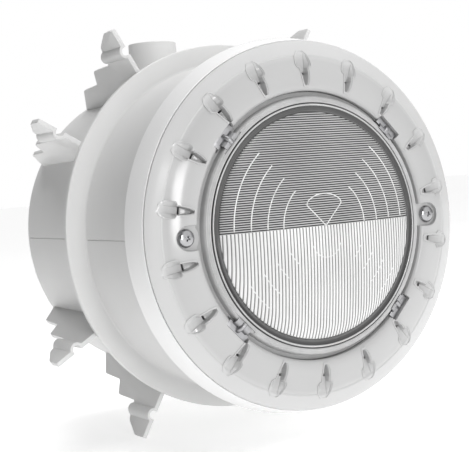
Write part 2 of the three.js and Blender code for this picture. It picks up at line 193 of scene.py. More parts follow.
def smooth(points, steps=4):
    """A Catmull-Rom curve through the points, ends included."""
    ends = [points[0], *points, points[-1]]
    result = []
    for p0, p1, p2, p3 in zip(ends, ends[1:], ends[2:], ends[3:]):
        for k in range(steps):
            t = k / steps
            result.append(tuple(
                b + t / 2 * (c - a + t * (2 * a - 5 * b + 4 * c - d + t * (3 * b - a - 3 * c + d)))
                for a, b, c, d in zip(p0, p1, p2, p3)
            ))
    return [*result, tuple(points[-1])]


# ---------- solids ----------


def turned(outline, segments=ROUND):
    """Turn an outline of (radius, depth) about the light's axis. It closes itself, or ends on the axis."""
    bm = bmesh.new()
    turns = [2 * math.pi * i / segments for i in range(segments)]
    rings = []
    for r, depth in outline:
        if r < 1e-6:
            rings.append([bm.verts.new((0, depth, 0))])
        else:
            rings.append([bm.verts.new((r * math.cos(a), depth, r * math.sin(a))) for a in turns])
    following = rings[1:] if outline[0][0] < 1e-6 else rings[1:] + rings[:1]
    for ring, after in zip(rings, following):
        for i in range(segments):
            j = (i + 1) % segments
            corners = [ring[i % len(ring)], after[i % len(after)], after[j % len(after)], ring[j % len(ring)]]
            corners = list(dict.fromkeys(corners))
            if len(corners) > 2:
                bm.faces.new(corners)
    return faced(bm)


def faced(bm):
    """Point every face outwards."""
    bmesh.ops.recalc_face_normals(bm, faces=bm.faces)
    return bm


def loft(rings):
    """Skin closed rings of 3-D points, one after another, and cap the two ends."""
    bm = bmesh.new()
    made = [[bm.verts.new(p) for p in ring] for ring in rings]
    count = len(rings[0])
    for ring, after in zip(made, made[1:]):
        for i in range(count):
            j = (i + 1) % count
            bm.faces.new((ring[i], after[i], after[j], ring[j]))
    bm.faces.new(made[0])
    bm.faces.new(made[-1])
    return faced(bm)


def rod(radius, start, end, segments=SMALL_ROUND, chamfer=0.0):
    """A cylinder along the light's axis; a chamfer breaks the edges of both its ends."""
    outline = [(0, start), (radius - chamfer, start), (radius, start + chamfer),
               (radius, end - chamfer), (radius - chamfer, end), (0, end)]
    return turned(list(dict.fromkeys(outline)), segments)


def plate(points, low, high, axis=1):
    """Extrude a flat outline along an axis (0, 1 or 2); the outline's pair takes the other two axes."""
    def at(point, level):
        place = list(point)
        place.insert(axis, level)
        return place
    return loft([[at(p, low) for p in points], [at(p, high) for p in points]])


def block(low, high):
    """A box between two opposite corners."""
    (x0, y0, z0), (x1, y1, z1) = low, high
    return plate([(x0, z0), (x1, z0), (x1, z1), (x0, z1)], y0, y1)


def moved(bm, matrix):
    """Turn or shift a solid."""
    bmesh.ops.transform(bm, matrix=matrix, verts=bm.verts)
    return bm


def shifted(bm, x=0.0, y=0.0, z=0.0):
    return moved(bm, Matrix.Translation((x, y, z)))


def spun(bm, degrees, axis="Y"):
    """Turn a solid about an axis through the middle of the light's front."""
    return moved(bm, Matrix.Rotation(math.radians(degrees), 4, axis))


def at_clock(bm, degrees):
    """Carry a solid made on the +X side round to an angle, clockwise from the top in front view."""
    return spun(bm, degrees - 90)


def gathered(*solids):
    """Several solids that don't touch, as one mesh."""
    result = bmesh.new()
    for solid in solids:
        mesh = bpy.data.meshes.new("part")
        solid.to_mesh(mesh)
        result.from_mesh(mesh)
        bpy.data.meshes.remove(mesh)
    return result


def all_round(make, angles):
    """The solid that `make` gives, at every one of the clock angles."""
    return gathered(*(at_clock(make(), degrees) for degrees in angles))


def at_both_screws(make):
    """The solid that `make` gives, on the axis of each trim screw."""
    return gathered(*(shifted(make(), side * SCREW_R) for _, side in SIDES))


def as_object(bm, name):
    """Put a solid into the scene."""
    mesh = bpy.data.meshes.new(name)
    bm.to_mesh(mesh)
    made = bpy.data.objects.new(name, mesh)
    bpy.context.scene.collection.objects.link(made)
    return made


def applied(target, *tools):
    """The solid that an object's modifiers give. The object and the tools they used are removed."""
    graph = bpy.context.evaluated_depsgraph_get()
    result = bmesh.new()
    result.from_mesh(target.evaluated_get(graph).to_mesh())
    for thing in (target, *tools):
        mesh = thing.data
        bpy.data.objects.remove(thing)
        bpy.data.meshes.remove(mesh)
    return result


def combine(base, *steps):
    """Apply boolean steps, each ("cut" or "join" or "keep", solid), and give the result."""
    words = {"cut": "DIFFERENCE", "join": "UNION", "keep": "INTERSECT"}
    target = as_object(base, "boolean_base")
    tools = []
    for word, solid in steps:
        tool = as_object(solid, "boolean_tool")
        tools.append(tool)
        modifier = target.modifiers.new("boolean", "BOOLEAN")
        modifier.operation = words[word]
        modifier.solver = "MANIFOLD"
        modifier.object = tool
    return applied(target, *tools)


def softened(bm, width, angle=30):
    """Round every edge sharper than an angle, with a bevel."""
    target = as_object(bm, "bevel_base")
    modifier = target.modifiers.new("bevel", "BEVEL")
    modifier.width = width
    modifier.segments = 2
    modifier.limit_method = "ANGLE"
    modifier.angle_limit = math.radians(angle)
    return applied(target)


def swept(path, radius, sides=10):
    """A round bar along a list of points, with flat ends."""
    points = [Vector(p) for p in path]
    rings = []
    normal = (points[1] - points[0]).orthogonal().normalized()
    for i, point in enumerate(points):
        tangent = (points[min(i + 1, len(points) - 1)] - points[max(i - 1, 0)]).normalized()
        normal = (normal - tangent * normal.dot(tangent)).normalized()
        other = tangent.cross(normal)
        turns = [2 * math.pi * k / sides for k in range(sides)]
        rings.append([point + (normal * math.cos(a) + other * math.sin(a)) * radius for a in turns])
    return loft(rings)


# ---------- pieces ----------


def add_piece(name, solid, look, body, replaces=(), sharp=32):
    """Put a solid into the frame as a finished piece that rides on a CAD body.

    Edges that turn by more than `sharp` degrees are shaded as sharp ones."""
    mesh = bpy.data.meshes.new(name)
    solid.to_mesh(mesh)
    mesh.validate()
    mesh.transform(Matrix.Translation((0, FRONT, 0)) @ Matrix.Scale(MM, 4))
    mesh.shade_smooth()
    mesh.set_sharp_from_angle(angle=math.radians(sharp))
    mesh.materials.append(look)
    piece = bpy.data.objects.new(name, mesh)
    bpy.context.scene.collection.objects.link(piece)
    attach(piece, body)
    if replaces:
        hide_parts(*replaces)
    return piece


# ---------- materials ----------


def set_stops(ramp, stops):
    """Give a ramp node its stops, each (position, colour or grey level)."""
    elements = ramp.color_ramp.elements
    while len(elements) < len(stops):
        elements.new(0.5)
    for element, (position, colour) in zip(elements, stops):
        element.position = position
        element.color = (*colour, 1) if isinstance(colour, tuple) else (colour, colour, colour, 1)


class Look:
    """A procedural material: a Principled shader with helpers for patterns in the object's own space."""

    def __init__(self, name, roughness, **sockets):
        self.material = bpy.data.materials.new(name)
        self.material.use_nodes = True
        self.nodes = self.material.node_tree.nodes
        self.links = self.material.node_tree.links
        self.shader = self.nodes["Principled BSDF"]
        self.shader.inputs["Roughness"].default_value = roughness
        for socket, value in sockets.items():
            self.shader.inputs[socket.replace("_", " ")].default_value = value
        self.space = self.nodes.new("ShaderNodeTexCoord").outputs["Object"]

    def stretched(self, x, y, z):
        """The object's space with each axis multiplied."""
        mapping = self.nodes.new("ShaderNodeMapping")
        mapping.inputs["Scale"].default_value = (x, y, z)
        self.links.new(self.space, mapping.inputs["Vector"])
        return mapping.outputs["Vector"]

    def noise(self, scale, detail, space=None):
        """Cloudy noise from 0 to 1, with `scale` waves to the metre."""
        node = self.nodes.new("ShaderNodeTexNoise")
        node.inputs["Scale"].default_value = scale
        node.inputs["Detail"].default_value = detail
        self.links.new(space or self.space, node.inputs["Vector"])
        return node.outputs["Fac"]

    def stripes(self, pitch, axis):
        """Stripes across an axis: 0 on each crest of a row of ribs, and 1 in each valley between them."""
        node = self.nodes.new("ShaderNodeTexWave")
        node.bands_direction = axis
        node.inputs["Scale"].default_value = math.pi / (10 * pitch * MM)
        self.links.new(self.space, node.inputs["Vector"])
        return node.outputs["Fac"]

    def between(self, value, low, high):
        """A length as a share: 0 at `low` millimetres and 1 at `high`."""
        node = self.nodes.new("ShaderNodeMapRange")
        node.inputs["From Min"].default_value = low * MM
        node.inputs["From Max"].default_value = high * MM
        self.links.new(value, node.inputs["Value"])
        return node.outputs["Result"]

    def radius(self, low, high):
        """The distance from the light's axis, as a share of the way between two radii."""
        length = self.nodes.new("ShaderNodeVectorMath")
        length.operation = "LENGTH"
        self.links.new(self.stretched(1, 0, 1), length.inputs[0])
        return self.between(length.outputs["Value"], low, high)

    def across(self, low, high):
        """The place along X, as a share of the way between two places."""
        split = self.nodes.new("ShaderNodeSeparateXYZ")
        self.links.new(self.space, split.inputs["Vector"])
        return self.between(split.outputs["X"], low, high)

    def ramp(self, value, *stops):
        """Colour stops (position, colour or grey level) along a value."""
        node = self.nodes.new("ShaderNodeValToRGB")
        set_stops(node, stops)
        self.links.new(value, node.inputs["Fac"])
        return node.outputs["Color"]

    def times(self, first, second):
        """Two colours multiplied."""
        node = self.nodes.new("ShaderNodeMix")
        node.data_type = "RGBA"
        node.blend_type = "MULTIPLY"
        node.inputs["Factor"].default_value = 1
        sockets = [socket for socket in node.inputs if socket.type == "RGBA"]
        for socket, value in zip(sockets, (first, second)):
            self.links.new(value, socket)
        return next(socket for socket in node.outputs if socket.type == "RGBA")

    def colour(self, value):
        self.links.new(value, self.shader.inputs["Base Color"])

    def rough(self, value, low, high):
        """Roughness that follows a noise's middle range, from one level to another."""
        self.links.new(self.ramp(value, (0.3, low), (0.7, high)), self.shader.inputs["Roughness"])

    def bump(self, *layers):
        """Layers of (height, strength, distance in metres), each on top of the last."""
        normal = None
        for height, strength, distance in layers:
            node = self.nodes.new("ShaderNodeBump")
            node.inputs["Strength"].default_value = strength
            node.inputs["Distance"].default_value = distance
            self.links.new(height, node.inputs["Height"])
            if normal:
                self.links.new(normal, node.inputs["Normal"])
            normal = node.outputs["Normal"]
        self.links.new(normal, self.shader.inputs["Normal"])


def shade(grey, tint):
    """A tint darkened to a grey level."""
    return tuple(grey * part for part in tint)


def moulded_plastic(name, grey, tint, rough, grain, shine=0.5):
    """Injection-moulded plastic: slow cloudiness, fine spark-eroded grain and slightly uneven gloss."""
    look = Look(name, rough[0], Specular_IOR_Level=shine)
    cloud = look.noise(14, 4)
    look.colour(look.ramp(cloud, (0.3, shade(grey * 0.965, tint)), (0.7, shade(grey, tint))))
    look.rough(look.noise(60, 5), *rough)
    look.bump((look.noise(26, 2), 0.03, 0.0012), (look.noise(2600, 2), grain, 0.00012))
    return look.material


def trim_plastic(name):
    """Glossy moulded plastic with painted light and shade: the face is painted darker towards the opening, as
    painted shade, and the outer edge and skirt much lighter, as painted light.
    """
    look = Look(name, 0.17, Coat_Weight=0.12, Coat_Roughness=0.14)
    cloud = look.ramp(look.noise(14, 4), (0.3, 0.965), (0.7, 1.0))
    # painted shade and painted light: darker over the inner face, much lighter over the outer edge and the
    # skirt
    tone = look.ramp(look.radius(112, 132), (0.2, 0.51), (0.45, 0.60), (0.9, 0.62), (0.96, 0.92))
    look.colour(look.times(tone, cloud))
    look.rough(look.noise(60, 5), 0.15, 0.2)
    look.bump((look.noise(26, 2), 0.05, 0.0012), (look.noise(2600, 2), 0.05, 0.00012))
    return look.material


def brushed_metal(name, colour, rough, scale):
    """Metal with streaks across the scale's largest direction, or an even satin where all are the same."""
    look = Look(name, rough[0], Metallic=1.0)
    streaks = look.noise(6, 6, look.stretched(*scale))
    look.colour(look.ramp(streaks, (0.2, shade(0.82, colour)), (0.8, colour)))
    look.rough(streaks, *rough)
    look.bump((streaks, 0.12, 0.0001))
    return look.material


def rubber(name, grey, rough):
    """Dull rubber with a little dust on it."""
    look = Look(name, rough)
    dust = look.noise(90, 6)
    look.colour(look.ramp(dust, (0.35, grey), (0.75, grey * 1.35)))
    look.rough(dust, rough - 0.08, rough + 0.08)
    look.bump((look.noise(1800, 3), 0.25, 0.0001))
    return look.material


def gasket_silicone(name):
    """Silicone with painted shade: the ledge down in the groove is painted darker than the lips."""
    look = Look(name, 0.35)
    # painted shade: the ledge beyond about 91 mm, down in the groove, is darker than the lips
    rings = look.ramp(look.radius(85, 95), (0.5, 0.52), (0.62, 0.40))
    look.colour(look.times(rings, look.ramp(look.noise(90, 6), (0.35, 0.85), (0.75, 1.0))))
    look.bump((look.noise(1800, 3), 0.15, 0.0001))
    return look.material


def pressed_glass_painted_reflections(name, pitch, axis, *stops):
    """Ribbed glass over the silvered bowl: each rib's crest and valley have their own tone, painted
    reflections and painted highlights that stand in for the light in the glass.
    """
    look = Look(name, 0.25, IOR=1.4, Coat_Weight=0.12, Coat_Roughness=0.06)
    swirl = look.ramp(look.noise(22, 5), (0.3, 0.86), (0.7, 1.0))
    # painted reflections and highlights: a tone for each rib's crest and valley
    look.colour(look.times(look.ramp(look.stripes(pitch, axis), *stops), swirl))
    look.bump((look.noise(160, 3), 0.1, 0.0003))
    return look.material


def lens_rim_glass_painted_highlight(name):
    """The lens's plain rim: dark glass, with a painted highlight as a light bead near its outer edge."""
    look = Look(name, 0.1, IOR=1.5, Coat_Weight=0.6, Coat_Roughness=0.04)
    # painted highlight: the light band at the bead, between the dark bands
    rings = look.ramp(look.radius(79, 87), (0.0, 0.16), (0.3, 0.07), (0.5, 0.03), (0.6, 0.03), (0.64, 0.6),
                      (0.74, 0.6), (0.79, 0.03))
    swirl = look.ramp(look.noise(40, 5), (0.3, 0.75), (0.7, 1.0))
    look.colour(look.times(rings, swirl))
    look.bump((look.noise(160, 3), 0.1, 0.0003))
    return look.material


def bead_glass_painted_highlight(name):
    """The lens's raised lines, painted light as a painted highlight where they catch the light."""
    look = Look(name, 0.2, IOR=1.5, Coat_Weight=0.6, Coat_Roughness=0.04)
    # painted highlight: the beads are coloured light grey
    look.colour(look.ramp(look.noise(300, 4), (0.3, 0.62), (0.6, 0.86)))
    look.bump((look.noise(160, 3), 0.1, 0.0003))
    return look.material


def mirror(name):
    """A vacuum-coated bowl with a slight orange peel."""
    look = Look(name, 0.06, Metallic=1.0)
    peel = look.noise(220, 3)
    look.colour(look.ramp(peel, (0.3, 0.80), (0.7, 0.88)))
    look.bump((peel, 0.08, 0.0002))
    return look.material


RIB_PITCH_UPPER = 1.6
RIB_PITCH_LOWER = 2.56

WHITE_TINT = (1.0, 1.0, 0.995)
# the trim's plastic, with painted shade on its face and painted light on its outer edge and skirt
TRIM_PLASTIC_PAINTED_LIGHT_AND_SHADE = trim_plastic("trim_plastic")
NICHE_PLASTIC = moulded_plastic("niche_plastic", 0.76, WHITE_TINT, (0.36, 0.46), 0.18, 0.2)
GLAND_PLASTIC = moulded_plastic("gland_plastic", 0.03, (1, 1, 1), (0.35, 0.5), 0.2)
STEEL = brushed_metal("stainless_steel", (0.48, 0.48, 0.49), (0.14, 0.2), (60, 60, 60))
SPRING_STEEL = brushed_metal("spring_steel", (0.45, 0.45, 0.46), (0.36, 0.46), (40, 40, 40))
BRASS = brushed_metal("brass", (0.78, 0.58, 0.27), (0.25, 0.4), (40, 900, 40))
SEAL_RUBBER = rubber("seal_rubber", 0.022, 0.6)
# the gasket's silicone, with painted shade on its ledge
SILICONE_PAINTED_SHADE = gasket_silicone("gasket_silicone")
# painted reflections: the upper half is dark with light crests, the lower half light with dark valleys
GLASS_UPPER = pressed_glass_painted_reflections("lens_glass_upper", RIB_PITCH_UPPER, "Z", (0.2, 0.54), (0.72, 0.03))
GLASS_LOWER = pressed_glass_painted_reflections("lens_glass_lower", RIB_PITCH_LOWER, "X", (0.6, 0.84), (0.9, 0.2))
GLASS_RIM = lens_rim_glass_painted_highlight("lens_glass_rim")
GLASS_BEAD = bead_glass_painted_highlight("lens_glass_beads")
MIRROR = mirror("reflector_mirror")
CERAMIC = moulded_plastic("ceramic_white", 0.72, (1, 0.97, 0.9), (0.5, 0.7), 0.3)

# ---------- camera, floor and light, in metres ----------

VIEW_AZIMUTH = math.radians(-30.813)
VIEW_ELEVATION = math.radians(2.502)
VIEW_ROLL = math.radians(-4.181)
VIEW_DISTANCE = 0.8515           # to the centre of the trim ring's front edge
VIEW_ASIDE = (0.05266, 0.00039)  # the camera's place beside that centre, to its right and up
SENSOR_MM = 36
FOCAL_MM = 92.3307
FLOOR_R = 12
FALL_OFF_MM = (-900, -250)       # where the floor turns from grey to white, along X


def make_camera():
    """The photo's camera, in front of the light and to its left."""
    around, above = VIEW_AZIMUTH, VIEW_ELEVATION
    back = Vector((math.sin(around) * math.cos(above), -math.cos(around) * math.cos(above), math.sin(above)))
    level = Vector((0, 0, 1)).cross(back).normalized()
    upright = back.cross(level)
    right = level * math.cos(VIEW_ROLL) + upright * math.sin(VIEW_ROLL)
    up = upright * math.cos(VIEW_ROLL) - level * math.sin(VIEW_ROLL)
    camera = bpy.data.objects.new("camera", bpy.data.cameras.new("camera"))
    camera.data.lens = FOCAL_MM
    camera.data.sensor_width = SENSOR_MM
    place = Vector((0, FRONT, 0)) + back * VIEW_DISTANCE - right * VIEW_ASIDE[0] - up * VIEW_ASIDE[1]
    turn = Matrix((right, up, back)).transposed().to_4x4()
    camera.matrix_world = Matrix.Translation(place) @ turn
    bpy.context.scene.collection.objects.link(camera)
    bpy.context.scene.camera = camera


def make_floor():
    """A pale floor that falls off into grey on the object's left, away from the camera's view."""
    bm = bmesh.new()
    bmesh.ops.create_circle(bm, cap_ends=True, radius=FLOOR_R, segments=96)
    floor = as_object(bm, "floor")
    floor.location.z = CAD_BOX[0].z - MM
    look = Look("floor_white", 0.85, Emission_Strength=0.4)
    fall_off = look.ramp(look.across(*FALL_OFF_MM), (0, 0.45), (1, 1.0))
    look.colour(look.times(fall_off, look.ramp(look.noise(3, 2), (0.3, 0.88), (0.7, 0.92))))
    look.links.new(fall_off, look.shader.inputs["Emission Color"])
    floor.data.materials.append(look.material)


def make_world():
    """White on the object's right, where the studio's windows are, and grey on its left and far right."""
    world = bpy.data.worlds.new("studio")
    world.use_nodes = True
    nodes, links = world.node_tree.nodes, world.node_tree.links
    space = nodes.new("ShaderNodeTexCoord").outputs["Generated"]
    split = nodes.new("ShaderNodeSeparateXYZ")
    links.new(space, split.inputs["Vector"])
    ramp = nodes.new("ShaderNodeValToRGB")
    stretch = nodes.new("ShaderNodeMapRange")
    stretch.inputs["From Min"].default_value = -1
    links.new(split.outputs["X"], stretch.inputs["Value"])
    links.new(stretch.outputs["Result"], ramp.inputs["Fac"])
    set_stops(ramp, ((0.3, 0.16), (0.62, 1), (0.86, 1), (0.94, 0.4)))
    links.new(ramp.outputs["Color"], nodes["Background"].inputs["Color"])
    bpy.context.scene.world = world


def add_light(name, place, target, size, power):
    """A soft rectangular light that faces a target."""
    lamp = bpy.data.lights.new(name, "AREA")
    lamp.shape = "RECTANGLE"
    lamp.size, lamp.size_y = size
    lamp.energy = power
    light = bpy.data.objects.new(name, lamp)
    light.location = place
    light.rotation_mode = "QUATERNION"
    light.rotation_quaternion = (Vector(target) - Vector(place)).to_track_quat("-Z", "Y")
    bpy.context.scene.collection.objects.link(light)


make_camera()
make_floor()
make_world()
LIGHT_AIM = (0, -0.2, 0)
add_light("front_light", (-0.38, -2.3, 0.28), LIGHT_AIM, (0.45, 0.8), 13)
add_light("top_light", (0.0, -0.2, 1.6), LIGHT_AIM, (1.2, 1.2), 14)
bpy.context.scene.view_settings.view_transform = "Standard"

# ---------- niche ----------


def screw_boss(side):
    """The arm that reaches in from the neck and carries a screw insert."""
    inner, outer, half = SCREW_R - 5, NECK_R - 1, 6
    arm = rounded([(inner, -half, 1.5), (outer, -half), (outer, half), (inner, half, 1.5)])
    return plate([(side * x, z) for x, z in arm], BOSS_FRONT, BOSS_BACK)


def back_groove(r):
    """A shallow groove round the back plate, as a cutter."""
    deep, half = 0.5, 1.5
    return turned([(r - half, DEPTH + 1), (r + half, DEPTH + 1), (r + half / 2, DEPTH - deep),
                   (r - half / 2, DEPTH - deep)])


def niche_shell():
    """The can, the wall flange and the neck in one, with the screws' bosses and the cable's way in."""
    corner = (CAN_R_REAR - CAN_CORNER_R, DEPTH - CAN_CORNER_R)
    outline = [
        (0, DEPTH), (60, DEPTH), *arc(corner, CAN_CORNER_R, 90, 0, 14),
        (CAN_R_REAR + 0.9, 190), (CAN_R_FRONT, FLANGE_BACK, 1.2), (FLANGE_R, FLANGE_BACK, 0.8),
        (FLANGE_R, FLANGE_FRONT, 1), (NECK_R + 0.2, FLANGE_FRONT, 2), (NECK_R, 60),
        (NECK_R, NECK_FRONT, 0.9), (NECK_R - WALL, NECK_FRONT, 0.9), (NECK_R - WALL, FLANGE_FRONT, 1.5),
        (CAN_R_FRONT - WALL, FLANGE_BACK + 4, 1.5),
        *arc(corner, CAN_CORNER_R - WALL, 0, 90, 10), (60, DEPTH - WALL), (0, DEPTH - WALL),
    ]
    shell = turned(rounded(outline, loop=False))
    steps = [("join", screw_boss(-1)), ("join", screw_boss(1))]
    for side in (-1, 1):
        seat = rod(INSERT_R + GAP, BOSS_FRONT - 1, BOSS_FRONT + INSERT_LENGTH + GAP)
        hole = rod(SCREW_HOLE_R, BOSS_FRONT, BOSS_BACK + 1)
        steps += [("cut", shifted(solid, side * SCREW_R)) for solid in (seat, hole)]
    bore = spun(rod(NIPPLE_R + GAP, -20, 20), 90, "X")
    steps.append(("cut", shifted(bore, 0, SOCKET_DEPTH, CAN_R_REAR - WALL)))
    steps += [("cut", spun(parting_line(), turn)) for turn in (0, 180)]
    steps += [("cut", back_groove(r)) for r in (60, 84)]
    return combine(shell, *steps)


def parting_line():
    """The fine groove that the mould's two halves leave along the neck and the can, as a cutter."""
    deep, half = 0.6, 0.45
    section = [(-deep, -half * 0.4), (1, -half * 2), (1, half * 2), (-deep, half * 0.4)]
    neck = ((NECK_R, 4), (NECK_R, FLANGE_FRONT - 2))
    can = ((CAN_R_FRONT, FLANGE_BACK + 1), (CAN_R_REAR, DEPTH - CAN_CORNER_R))
    return gathered(*(loft([[(r + out, depth, t) for out, t in section] for r, depth in line])
                      for line in (neck, can)))


def fin_outline():
    """The fin seen from its side, as (radius, depth): a long tip in front and two steps behind it."""
    front = FLANGE_BACK + GAP
    return rounded([
        (CAN_R_FRONT - 1, front), (FIN_TIP_R, front, 1), (FIN_TIP_R, front + 14, 9), (167, 141, 7),
        (151.6, 145, 3), (150.4, 175, 4), (138.6, 183, 4), (136.6, 212, 4), (CAN_R_REAR - 1, 229),
    ], 6)


def fin_section():
    """The fin seen along the light's axis: a plate with a half-round web round the nail groove."""
    half = FIN_THICK / 2
    reach = math.sqrt(NAIL_WEB_R ** 2 - half ** 2)
    bend = math.degrees(math.atan2(half, reach))
    return [
        (CAN_R_REAR - 2, -half), *arc((NAIL_R, 0), NAIL_WEB_R, 180 + bend, 360 - bend, 16),
        (FIN_TIP_R + 1, -half), (FIN_TIP_R + 1, half),
        (NAIL_R + NAIL_GROOVE_R, half), *arc((NAIL_R, 0), NAIL_GROOVE_R, 0, -180, 16),
        (NAIL_R - NAIL_GROOVE_R, half), (CAN_R_REAR - 2, half),
    ]


def anchor_fin(degrees):
    """A fin whose nail groove opens towards the top in the upper half, and the bottom in the lower half."""
    turn = math.copysign(1, math.sin(math.radians(2 * degrees)))
    lying = plate(fin_outline(), -2 * NAIL_WEB_R, 2 * NAIL_WEB_R, axis=2)
    along = plate([(x, turn * z) for x, z in fin_section()], FLANGE_BACK - 5, 240)
    return at_clock(softened(combine(lying, ("keep", faced(along))), 0.3), degrees)


def conduit_socket():
    """A solvent-weld pipe socket that flares into the can, with a stop ledge inside."""
    tube = turned(rounded([
        (SOCKET_BORE_R - 3, 112), (SOCKET_FOOT_R + 3, 112), (SOCKET_FOOT_R + 1.4, 119, 3),
        (SOCKET_R, 134, 12), (SOCKET_R, SOCKET_TOP, 0.9), (SOCKET_BORE_R + 0.4, SOCKET_TOP, 0.9),
        (SOCKET_BORE_R, 126, 0.5), (SOCKET_BORE_R - 3, 126, 0.5),
    ]), 96)
    return shifted(spun(tube, 90, "X"), 0, SOCKET_DEPTH, 0)


add_piece("niche_shell_moulding", niche_shell(), NICHE_PLASTIC, "niche", ["niche_shell"])
for number, angle in enumerate(FIN_ANGLES, 1):
    add_piece(f"anchor_fin_{number}_moulding", anchor_fin(angle), NICHE_PLASTIC, "niche",
              [f"anchor_fin_{number}"])
add_piece("conduit_socket_moulding", conduit_socket(), NICHE_PLASTIC, "niche",
          ["conduit_socket"])

# ---------- cable glands ----------


def hexagon(flats, start, end, chamfer=1.2):
    """A hexagon bar along Y whose corners are turned off at both ends."""
    corner_r = flats / math.sqrt(3)
    bar = turned([(0, start), (corner_r, start), (corner_r, end), (0, end)], 6)
    cone = turned([(0, start), (flats / 2, start), (corner_r + 0.2, start + chamfer),
                   (corner_r + 0.2, end - chamfer), (flats / 2, end), (0, end)], SMALL_ROUND)
    return combine(bar, ("keep", cone))


def thread(radius, start, end, pitch=1.5):
    """A threaded rod, as a stack of turned ridges."""
    count = round((end - start) / pitch)
    ridges = []
    for i in range(count):
        at = start + pitch * i
        ridges += [(radius - 0.8, at + 0.1), (radius, at + 0.6), (radius, at + 0.9), (radius - 0.8, at + 1.4)]
    return turned([(0, start), *ridges, (radius - 0.8, end), (0, end)], SMALL_ROUND)


def gland_pieces(wall):
    """A gland's pieces along Y, with the wall's face at 0 and the cable leaving towards +Y."""
    collar, spigot_end, nut_end = 7, 17, 24
    lock_back = -wall - GAP
    body = combine(
        hexagon(26, GAP, collar),
        ("join", thread(NIPPLE_R, -16, 2)),
        ("join", thread(9.5, collar - 1, spigot_end)),
        ("cut", rod(CABLE_BORE_R, -17, spigot_end + 1)), ("cut", rod(7.6, 10, spigot_end + 1)),
    )
    seal = turned(rounded([(5.2, 10 + GAP, 0.3), (7.3, 10 + GAP, 0.5), (7.3, 17.5, 0.4), (6.6, 19, 0.4),
                           (5.2, 19, 0.3)]), SMALL_ROUND)
    outline = [(0, nut_end), (9, nut_end, 1.5), (12.4, nut_end - 5, 3), (14, collar, 1), (0, collar)]
    crown = turned(rounded(outline, loop=False), SMALL_ROUND)
    nut = combine(
        hexagon(24, collar + GAP, nut_end), ("keep", crown), ("cut", rod(9.8, collar, spigot_end + GAP)),
        ("cut", rod(7.6, spigot_end - 1, 19.5)), ("cut", rod(5.7, 19, nut_end + 1)),
    )
    locknut = combine(hexagon(22, lock_back - 5, lock_back),
                      ("cut", rod(NIPPLE_R + GAP, lock_back - 6, lock_back + 1)))
    return {"body": body, "seal": seal, "nut": nut, "locknut": locknut}


def add_gland(prefix, wall, body, place):
    """Put a gland's pieces in their place, on a CAD body."""
    for word, solid in gland_pieces(wall).items():
        look, slot = (SEAL_RUBBER, "seal_rubber") if word == "seal" else (GLAND_PLASTIC, "gland_plastic")
        name = f"{prefix}_gland_{word}"
        add_piece(f"{name}_fine", moved(solid, place), look, body, [name])


GLAND_TOP = 114.8                # the niche gland's seat, under the can's wall
add_gland("niche", WALL + 1.4, "niche",
          Matrix.Translation((0, SOCKET_DEPTH, GLAND_TOP)) @ Matrix.Rotation(math.radians(-90), 4, "X"))
add_gland("housing", HOUSING_WALL, "light_unit", Matrix.Translation((0, HOUSING_BACK, 0)))

# ---------- trim ring ----------

FACE = [(TRIM_R - 0.2, -0.1), (126, -2.2), (120.2, -4.6)]
INNER_FACE = [(118.9, -4.4), (114, -6.5), (108, -8.5), (102, -9.6), (98, -9.4), (95.8, -8.7)]


def face_depth(r):
    """The depth of the ring's front face at a radius."""
    points = sorted(FACE + INNER_FACE)
    for (r0, d0), (r1, d1) in zip(points, points[1:]):
        if r <= r1:
            return d0 + (d1 - d0) * max(0.0, (r - r0) / (r1 - r0))
    return points[-1][1]


def channel(r, half, floor_half, deep, grow):
    """A teardrop's cross-section at a radius: rounded edges, side walls and a round-cornered floor.

    Grown, it is the outside of the cup behind the ring, which has no rounded edges."""
    deep = max(deep, 0.3)
    floor_half = min(floor_half, half)
    front = -0.5 if grow else -8
    edge = 0 if grow else min(0.9, deep * 0.5)
    corner = min(0.8, (deep - edge) * 0.8, floor_half * 0.6)
    turns = [math.radians(22.5 * k) for k in range(5)]
    side = [(half + grow + edge, front)]
    side += [(half + grow + edge * (1 - math.sin(a)), edge * (1 - math.cos(a))) for a in turns]
    side += [(floor_half + grow - corner * (1 - math.cos(a)), deep + grow - corner * (1 - math.sin(a)))
             for a in turns[:-1]]
    side.append((floor_half - corner, deep + grow))
    across = side + [(-t, below) for t, below in reversed(side)]
    return [(r, face_depth(r) + below, t) for t, below in across]


def floor_deep(r):
    """How far a teardrop's floor lies below the face."""
    near, far = SLOT_R - SLOT_WIDTH / 2, BOWL_R[1] - 0.4
    if r < near:
        return TONGUE_DEEP[0] + (TONGUE_DEEP[1] - TONGUE_DEEP[0]) * (r - TONGUE_TIP_R) / (near - TONGUE_TIP_R)
    return TONGUE_DEEP[1] * max(0.0, (far - r) / (far - near))


def teardrop_tongue(grow=0.0):
    """The narrow half of a teardrop, as a cutter that widens and deepens from its tip towards the slot."""
    steps = 14
    sections = []
    for k in range(steps + 1):
        share = k / steps
        r = TONGUE_TIP_R - grow + (BOWL_R[0] + 0.3 - TONGUE_TIP_R + grow) * share
        half = SLOT_HALF * math.sin(math.radians(90 * share)) ** 0.7 + 0.4 * (1 - share)
        sections.append(channel(r, half, half, floor_deep(max(r, TONGUE_TIP_R)), grow))
    return loft(sections)


def teardrop_bowl(grow=0.0):
    """The wide half of a teardrop, as a cutter whose floor climbs from the slot to the face."""
    near, far = BOWL_R
    steps = 20
    sections = []
    for k in range(steps + 1):
        r = near - grow + (far - near + grow) * (1 - math.cos(math.pi * k / steps)) / 2
        nose = max(0.0, (r - far + BOWL_NOSE) / (BOWL_NOSE + 0.4))
        shoulder = min(1.0, max(0.0, (near + BOWL_SHOULDER - r) / BOWL_SHOULDER))
        half = BOWL_HALF * math.sqrt(1 - nose ** 2)
        half -= (BOWL_HALF - SLOT_HALF) * (1 - math.sqrt(1 - shoulder ** 2))
        sections.append(channel(r, half, min(SLOT_HALF, half * 0.7), floor_deep(r), grow))
    return loft(sections)


